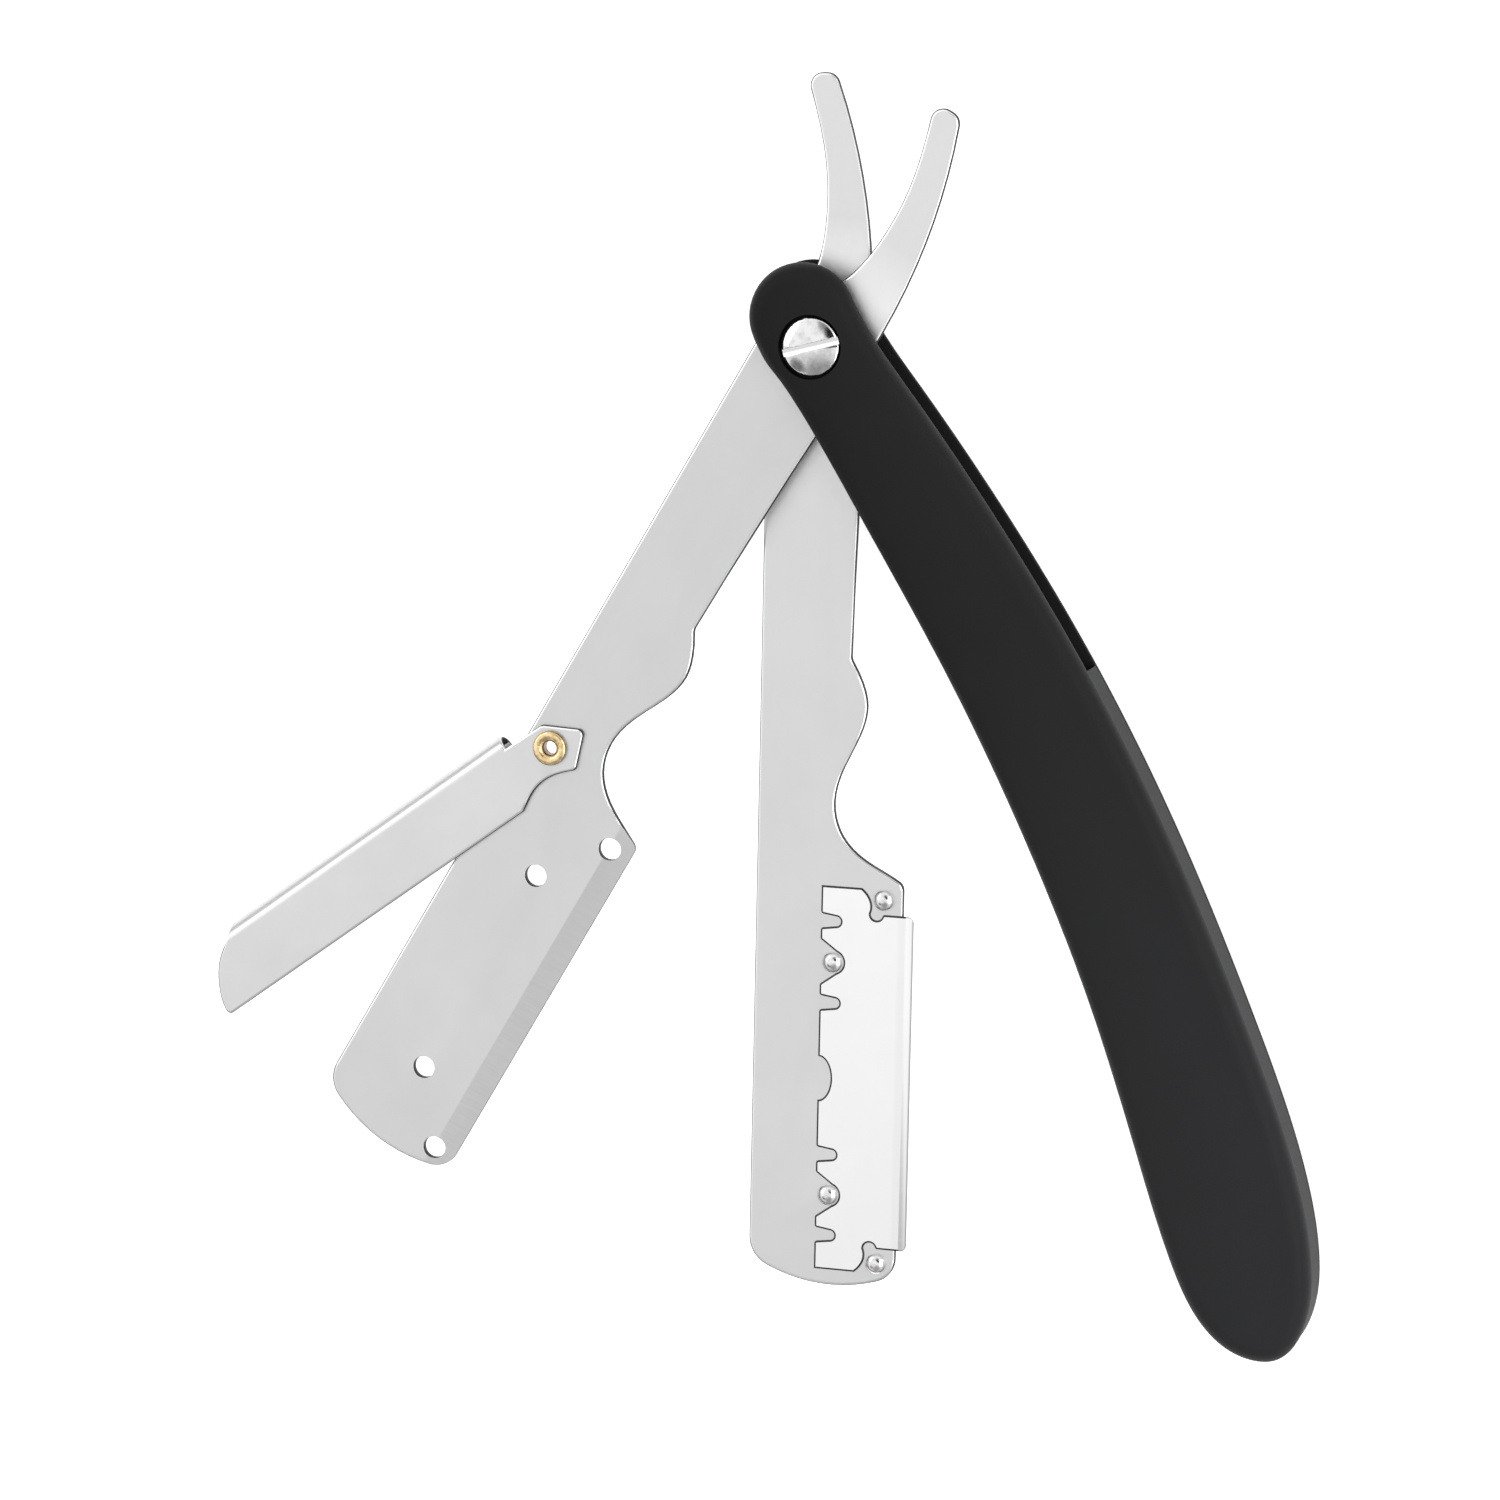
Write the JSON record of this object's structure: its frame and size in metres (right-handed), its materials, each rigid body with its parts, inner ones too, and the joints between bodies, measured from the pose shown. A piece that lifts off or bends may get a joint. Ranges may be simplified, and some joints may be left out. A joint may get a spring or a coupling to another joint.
{
  "type": "folding razor with replaceable blade",
  "caption": "Folding barber razor: two pivoting steel arms hold half a double-edge blade, a swing lock clamps them, and a slotted black handle folds over the edge.",
  "frame": {"origin": "on the pivot axis, on the handle's rear face, which the razor lies on", "axes": "+Z out of the handle's front face, -Y along the handle to its far end, +X towards the handle's convex spine"},
  "size_m": [0.1182, 0.1451, 0.0088],
  "materials": {
    "handle_plastic": "matte moulded black",
    "plated_steel": "polished plate",
    "washer_steel": "satin",
    "arm_steel": "satin tumbled stainless sheet",
    "stud_steel": "satin",
    "blade_steel": "ground and honed",
    "eyelet_brass": "rolled, lightly hammered"
  },
  "bodies": {
    "handle": {"front_scale": "handle_plastic", "rear_scale": "handle_plastic", "pivot_screw": "plated_steel", "pivot_nut": "plated_steel", "rear_washer": "washer_steel"},
    "blade_arm": {"blade_arm": "arm_steel", "stud_heel_edge": "stud_steel", "stud_heel_spine": "stud_steel", "stud_toe_spine": "stud_steel", "stud_toe_edge": "stud_steel"},
    "half_blade": {"half_blade": "blade_steel"},
    "cover_washer": {"cover_washer": "washer_steel"},
    "cover_arm": {"cover_arm": "arm_steel", "lock_eyelet": "eyelet_brass"},
    "lock_bar": {"lock_bar": "arm_steel"}
  },
  "joints": [
    {"name": "fold", "type": "hinge", "parent": "handle", "child": "blade_arm", "pos_m": [0, 0, 0.003], "axis": [0, 0, -1], "range_deg": [-24, 200]},
    {"name": "blade_lift", "type": "slide", "parent": "blade_arm", "child": "half_blade", "axis": [0, 0, 1], "range_m": [0, 0.006]},
    {"name": "cover_lift", "type": "slide", "parent": "blade_arm", "child": "cover_washer", "axis": [0, 0, 1], "range_m": [-0.0006, 0]},
    {"name": "spread", "type": "hinge", "parent": "cover_washer", "child": "cover_arm", "pos_m": [0, 0, 0.0045], "axis": [0, 0, -1], "range_deg": [-29.6, 60]},
    {"name": "lock_swing", "type": "hinge", "parent": "cover_arm", "child": "lock_bar", "pos_m": [-0.04593, -0.02827, 0.005], "axis": [0, 0, -1], "range_deg": [-23.8, 30]}
  ]
}
